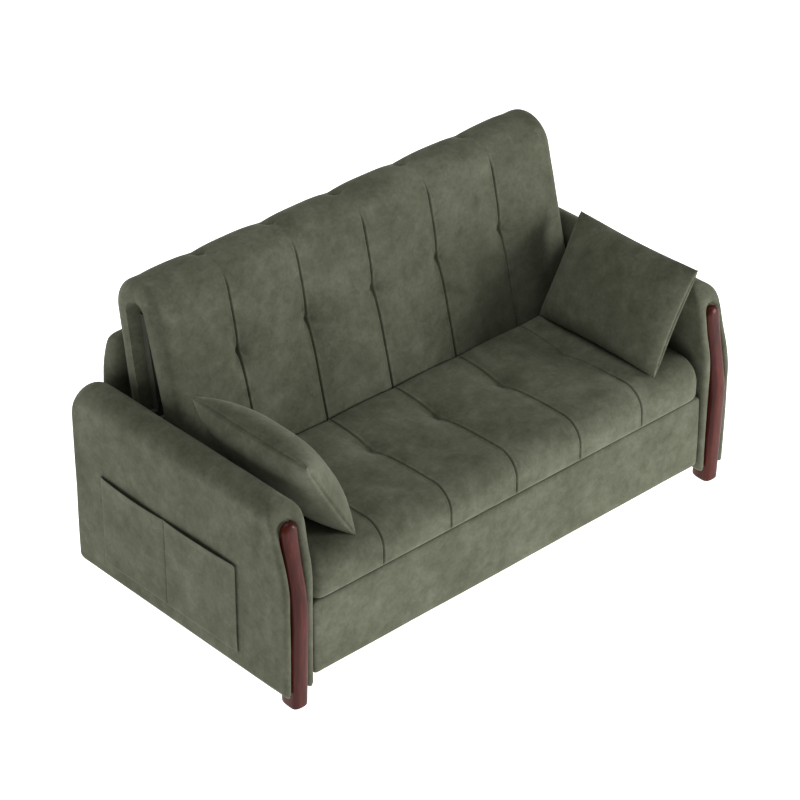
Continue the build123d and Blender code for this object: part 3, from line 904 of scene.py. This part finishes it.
def makePost(side, material):
    name = "right" if side > 0 else "left"
    low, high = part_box(name + "_wood_post")
    centreX, half = abs(low[0] + high[0]) / 2, post["halfWidth"]
    domeZ, footTop = high[2] - half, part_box(name + "_arm_padding")[0][2]
    heights = list(post["soleRows"]) + [footTop * i / post["footRows"] for i in range(1, post["footRows"])]
    heights += [footTop - post["shoulder"], footTop + post["shoulder"]]
    heights += [footTop + (domeZ - footTop) * i / post["rows"] for i in range(1, post["rows"] + 1)]
    step = post["domeStep"]
    heights += [domeZ + half * math.sin(math.radians(angle)) for angle in range(step, 90, step)]
    heights += [high[2] - post["tip"]]
    knots, depths = zip(*post["front"])
    frontPower, backPower = 2 / post["frontBoxy"], 2 / post["backBoxy"]
    points, around = [], post["around"]
    for z in heights:
        wide = math.sqrt(max(0, half**2 - max(0, z - domeZ) ** 2))
        backDepth = post["footBack"] if z < footTop else post["back"]
        front = float(smoothCurve(z, knots, depths)) + (half - wide) * post["topLean"]
        nose = post["nose"] * max(wide / half, post["noseAtTop"])
        middle = (front + backDepth) / 2
        kept = 1 - max(0, post["chamfer"]["high"] - z) * post["chamfer"]["steep"] / half
        for step in range(around):
            angle = 2 * math.pi * step / around
            c, s = math.cos(angle), math.sin(angle)
            x = wide * math.copysign(abs(c) ** (frontPower if s < 0 else backPower), c)
            if s < 0:
                depth = front + nose * (1 - abs(s) ** frontPower)
            else:
                depth = front + nose + (backDepth - front - nose) * s**backPower
            depth = middle + (depth - middle) * kept
            points.append((side * (centreX + x * kept), panelFront + depth, z))
    faces = []
    for ring, step in product(range(len(heights) - 1), range(around)):
        a, b = ring * around + step, ring * around + (step + 1) % around
        faces.append((a, b, b + around, a + around))
    faces.append(list(range(around))[::-1])
    faces.append([(len(heights) - 1) * around + step for step in range(around)])
    if side < 0:
        faces = [face[::-1] for face in faces]
    piece = makePiece(name + "WoodPost", points, faces, material)
    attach(piece, "base")
    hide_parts(name + "_wood_post")


pocket = {
    "cloth": 1.6 * mm,
    "stand": 3.0 * mm,  # how far the sewn edges stand off the arm
    "frontStand": 5.0 * mm,  # the front edge stands off on a folded gusset
    # how far the open top edge stands off in the middle of a compartment
    "mouth": {"stand": 8.0 * mm, "upPower": 2.2, "bowPower": 0.6},
    "sag": {"deep": 5 * mm, "alongPower": 1.4, "upPower": 4},  # droop of the open edge at the rear
    "hem": 16 * mm,
    "hemProud": 0.8 * mm,
    "counts": (70, 36),
    "nearEdge": (0.6 * mm, 2 * mm, 5 * mm, 10 * mm),
    "sewnWidth": 3 * mm,  # the cloth comes down to the arm over this width
    "gussetWidth": 9 * mm,
    "gussetRise": 0.03,  # height over which the gusset opens
    "belly": {"stand": 1.6 * mm, "share": 0.9},  # fullness of each compartment, and how much of its arc shows
    "least": 0.5 * mm,
    "dividerShare": 0.525,  # of the width, from the front
    "groove": 2.6 * mm,
    "grooveWidth": 1.8 * mm,
    "besideGroove": (0.7 * mm, 1.5 * mm, 3 * mm, 5 * mm),  # rows of the mesh beside the compartments' joint
    "clearing": 8 * mm,  # with no other rows this near
}


def makePocket(side, material):
    name = "right" if side > 0 else "left"
    low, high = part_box(name + "_side_pocket")
    outside = max(abs(low[0]), abs(high[0])) - (high[0] - low[0])
    across, up = pocket["counts"]
    width, height = high[1] - low[1], high[2] - low[2]
    divider = pocket["dividerShare"] * width
    ys = spread(0, width, pocket["nearEdge"], width / across)
    ys = [y for y in ys if abs(y - divider) > pocket["clearing"]]
    ys += [divider] + [divider + turn * away for away in pocket["besideGroove"] for turn in (-1, 1)]
    ys.sort()
    zs = spread(0, height, pocket["nearEdge"], height / up)
    mouth, belly, sag = pocket["mouth"], pocket["belly"], pocket["sag"]
    points = []
    for z, y in product(zs, ys):
        # bow is 1 in the middle of a compartment, 0 at its sides
        bow = max(0, math.sin(math.pi * (y / divider if y < divider else (y - divider) / (width - divider))))
        edge = min(1, min(width - y, z + pocket["least"]) / pocket["sewnWidth"])
        stand = pocket["stand"] * math.sqrt(edge)
        opened = (z / height) ** mouth["upPower"] * bow ** mouth["bowPower"]
        stand += (mouth["stand"] - pocket["stand"]) * opened
        stand += belly["stand"] * bow * math.sin(math.pi * belly["share"] * z / height)
        gusset = math.exp(-((y / pocket["gussetWidth"]) ** 2)) * min(1, z / pocket["gussetRise"])
        stand += (pocket["frontStand"] - pocket["stand"]) * gusset
        if height - z < pocket["hem"]:
            stand += pocket["hemProud"]
        stand -= pocket["groove"] * math.exp(-(((y - divider) / pocket["grooveWidth"]) ** 2))
        droop = sag["deep"] * math.sin(math.pi * (y / width) ** sag["alongPower"])
        droop *= (z / height) ** sag["upPower"]
        points.append((side * (outside + max(stand, pocket["least"])), low[1] + y, low[2] + z - droop))
    faces, row = [], len(ys)
    for k, j in product(range(len(zs) - 1), range(row - 1)):
        a = k * row + j
        quad = (a, a + 1, a + row + 1, a + row)
        faces.append(quad if side > 0 else quad[::-1])
    piece = makePiece(name + "SidePocket", points, faces, material)
    thick = piece.modifiers.new("cloth", "SOLIDIFY")
    thick.thickness = pocket["cloth"]
    thick.offset = 1.0
    applyModifiers(piece)
    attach(piece, "base")
    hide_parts(name + "_side_pocket")


pillow = {
    "length": 0.453,
    "height": 0.323,
    # rows of the mesh beside the seam
    "nearSeam": (0.1 * mm, 0.5 * mm, 1.2 * mm, 2.4 * mm, 4.5 * mm, 8 * mm, 13 * mm, 20 * mm),
    "pitch": 10 * mm,
    "fullness": 2.7,  # 2 is a plain lens, more fills out the corners
    "pullIn": 9 * mm,  # the sides draw in between the corners
    "blunt": 0.5 * mm,  # the corners are drawn in this much
    "cornerPower": 14,
    "cloth": {"pressure": 3.0, "cap": 7 * mm, "slack": 0.0, "steps": 12, "bend": 4.0},
    "heldRows": 5 * mm,  # the filling can't move the cloth this close to the stitches
    "seam": {"deep": 4.5 * mm, "wide": 3.0 * mm},  # the stitches pull the rim in
    "lip": {"high": 1.6 * mm, "from": 9 * mm, "wide": 4 * mm},  # and the cloth rolls up beside them
    "besideSeam": 0.02,
    "corner": {"from": 0.75, "left": 0.2},  # where the corners start, and the share of the seam's depth there
    "lumps": {"size": 0.12, "height": 1.5 * mm, "seed": 7.0},
    "left": {"bottom": (0.551, 0.4205), "top": (0.703, 0.684), "inward": 0.088, "outward": 0.056},
    "right": {"bottom": (0.551, 0.4205), "top": (0.709, 0.702), "inward": 0.064, "outward": 0.054},
}


def makePillow(side, material):
    name = "right" if side > 0 else "left"
    shape, length, height = pillow[name], pillow["length"], pillow["height"]
    us = np.array(spread(-length / 2, length / 2, pillow["nearSeam"], pillow["pitch"]))
    vs = np.array(spread(-height / 2, height / 2, pillow["nearSeam"], pillow["pitch"]))
    counts = (len(us) - 1, len(vs) - 1, 1)
    lattice, quads = boxShell(counts)
    rim = (lattice[:, 0] % counts[0] == 0) | (lattice[:, 1] % counts[1] == 0)
    # one point for both layers where they are stitched together
    keys = [(a, b, 0 if rim[i] else c) for i, (a, b, c) in enumerate(lattice)]
    places = {key: i for i, key in enumerate(dict.fromkeys(keys))}
    quads = [[places[keys[i]] for i in quad] for quad in quads]
    kept = np.array(list(places))
    u, v, layer = us[kept[:, 0]], vs[kept[:, 1]], np.where(kept[:, 2] == 0, -1.0, 1.0)
    onRim = (kept[:, 0] % counts[0] == 0) | (kept[:, 1] % counts[1] == 0)
    a, b = 2 * u / length, 2 * v / height
    power = pillow["fullness"]
    crown = np.sqrt(np.clip(1 - np.abs(a) ** power, 0, 1) * np.clip(1 - np.abs(b) ** power, 0, 1))
    thick = np.where(layer > 0, shape["outward"], shape["inward"]) * np.where(onRim, 0, crown)
    blunt = pillow["blunt"] * np.abs(a * b) ** pillow["cornerPower"]
    pulled = 1 - (pillow["pullIn"] * (1 - b**2) * a**2 + blunt) / (length / 2)
    drawn = 1 - (pillow["pullIn"] * (1 - a**2) * b**2 + blunt) / (height / 2)
    points = np.column_stack((u * pulled, v * drawn, layer * thick))
    faces = [quad for quad in quads if len(set(quad)) == 4]
    piece = makePiece(name + "Pillow", points, faces, material)
    fromRim = np.minimum(length / 2 - np.abs(u), height / 2 - np.abs(v))
    inflate(piece, (fromRim < pillow["heldRows"]).astype(float), **pillow["cloth"])
    points = readPoints(piece)
    seam, lip = pillow["seam"], pillow["lip"]
    raised = lip["high"] * np.exp(-(((np.abs(points[:, 2]) - lip["from"]) / lip["wide"]) ** 2))
    raised -= seam["deep"] * np.exp(-((points[:, 2] / seam["wide"]) ** 2))
    radial = readNormals(piece) * np.array((1, 1, 0))
    radial /= np.maximum(np.linalg.norm(radial, axis=1, keepdims=True), 1e-9)
    corner = pillow["corner"]
    nearCorner = np.clip((np.abs(a * b) - corner["from"]) / (1 - corner["from"]), 0, 1)
    beside = np.clip(1 - fromRim / pillow["besideSeam"], 0, 1)
    points += radial * (raised * beside * (1 - (1 - corner["left"]) * nearCorner))[:, None]
    look = pillow["lumps"]
    lumps = unevenness(points, look["size"], look["height"], look["seed"] + side) * (1 - beside)
    points += readNormals(piece) * lumps[:, None]
    bottom, top = np.array(shape["bottom"]), np.array(shape["top"])
    upward = (top - bottom) / np.linalg.norm(top - bottom)
    centre = (top + bottom) / 2
    middleY = sum(p[1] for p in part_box(name + "_pillow")) / 2
    x = centre[0] + points[:, 1] * upward[0] + points[:, 2] * upward[1]
    z = centre[1] + points[:, 1] * upward[1] - points[:, 2] * upward[0]
    writePoints(piece, np.column_stack((side * x, middleY + points[:, 0], z)))
    if side < 0:
        piece.data.flip_normals()
    subdivide(piece)
    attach(piece, name + "_pillow")
    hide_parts(name + "_pillow")


buildStudio()
print("stage: studio ready")
velvetCloth = velvetMaterial()
finishes = {name: plainMaterial(name) for name in plainFinishes}
print("stage: materials ready")
makeSeat(velvetCloth)
print("stage: seat made")
makeBack(velvetCloth)
print("stage: back made")
makeFrontPadding(velvetCloth)
makeRearPadding(velvetCloth)
print("stage: panels made")
for side in (-1, 1):
    makeArm(side, velvetCloth)
    makePost(side, finishes["mahogany"])
    makePocket(side, velvetCloth)
    print("stage: arm made")
    makePillow(side, velvetCloth)
    print("stage: pillow made")

for name, node in frame["nodes"].items():
    if not node.hide_render:
        slot = node.data.materials[0].name.split(".")[0]
        node.data.materials.clear()
        node.data.materials.append(finishes[slot])
print("stage: frame finished")
